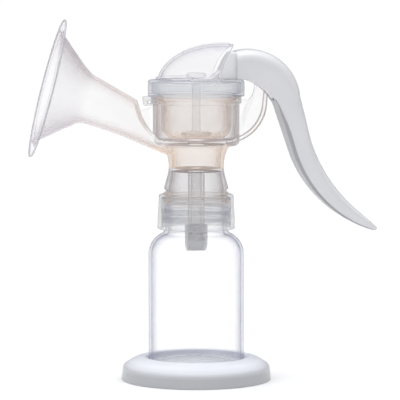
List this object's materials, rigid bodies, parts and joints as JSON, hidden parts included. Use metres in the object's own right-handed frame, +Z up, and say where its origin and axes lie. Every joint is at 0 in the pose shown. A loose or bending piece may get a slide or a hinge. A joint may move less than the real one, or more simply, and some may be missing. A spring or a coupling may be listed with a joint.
{
  "type": "breast pump",
  "caption": "Manual breast pump: funnel and slanted tube, diaphragm cup under a hood, S-shaped squeeze handle, milk bottle and round stand.",
  "frame": {"origin": "on the table, under the middle of the pump's length and width", "axes": "+Z up along the bottle, +X from the bottle towards the handle's tip, the funnel points to -X"},
  "size_m": [0.2104, 0.0898, 0.2167],
  "materials": {
    "stand_plastic": "smooth white, slightly glossy",
    "bottle_plastic": "clear, polished",
    "collar_plastic": "translucent grey, satin",
    "body_plastic": "milky translucent, satin",
    "ring_plastic": "translucent blue-grey, satin",
    "hood_plastic": "translucent white, glossy",
    "handle_plastic": "opaque light grey-white, glossy",
    "lever_plastic": "opaque light grey-white, satin",
    "stem_plastic": "white, satin",
    "silicone": "translucent silicone, matt"
  },
  "bodies": {
    "stand": {"stand_base": "stand_plastic"},
    "milk_bottle": {"bottle": "bottle_plastic"},
    "pump_head": {"pump_neck": "body_plastic", "pump_cup": "body_plastic", "breast_shield": "body_plastic", "cover_ring": "ring_plastic", "neck_seal": "silicone", "duckbill_valve": "silicone", "diaphragm": "silicone"},
    "collar": {"screw_collar": "collar_plastic"},
    "hood": {"cover_hood": "hood_plastic"},
    "lever": {"handle_shell": "handle_plastic", "handle_lever": "lever_plastic"},
    "stem": {"stem": "stem_plastic"}
  },
  "joints": [
    {"name": "bottle_lift", "type": "slide", "parent": "stand", "child": "milk_bottle", "axis": [0, 0, 1], "range_m": [0, 0.03]},
    {"name": "head_lift", "type": "slide", "parent": "milk_bottle", "child": "pump_head", "axis": [0, 0, 1], "range_m": [0, 0.045]},
    {"name": "collar_turn", "type": "hinge", "parent": "pump_head", "child": "collar", "pos_m": [-0.00484, 0, 0.1], "axis": [0, 0, 1], "range_deg": [0, 360]},
    {"name": "hood_lift", "type": "slide", "parent": "pump_head", "child": "hood", "axis": [0, 0, 1], "range_m": [0, 0.035]},
    {"name": "handle_squeeze", "type": "hinge", "parent": "pump_head", "child": "lever", "pos_m": [0.03506, 0, 0.1827], "axis": [0, 1, 0], "range_deg": [0, 13], "stiffness_Nm_per_rad": 0.5, "springref_deg": -6.88},
    {"name": "stem_lift", "type": "slide", "parent": "pump_head", "child": "stem", "axis": [0, 0, 1], "range_m": [0, 0.009], "deforming": ["diaphragm"]}
  ],
  "couplings": [
    {"joint": "stem_lift", "follows": "handle_squeeze", "m_per_rad": 0.0396}
  ]
}
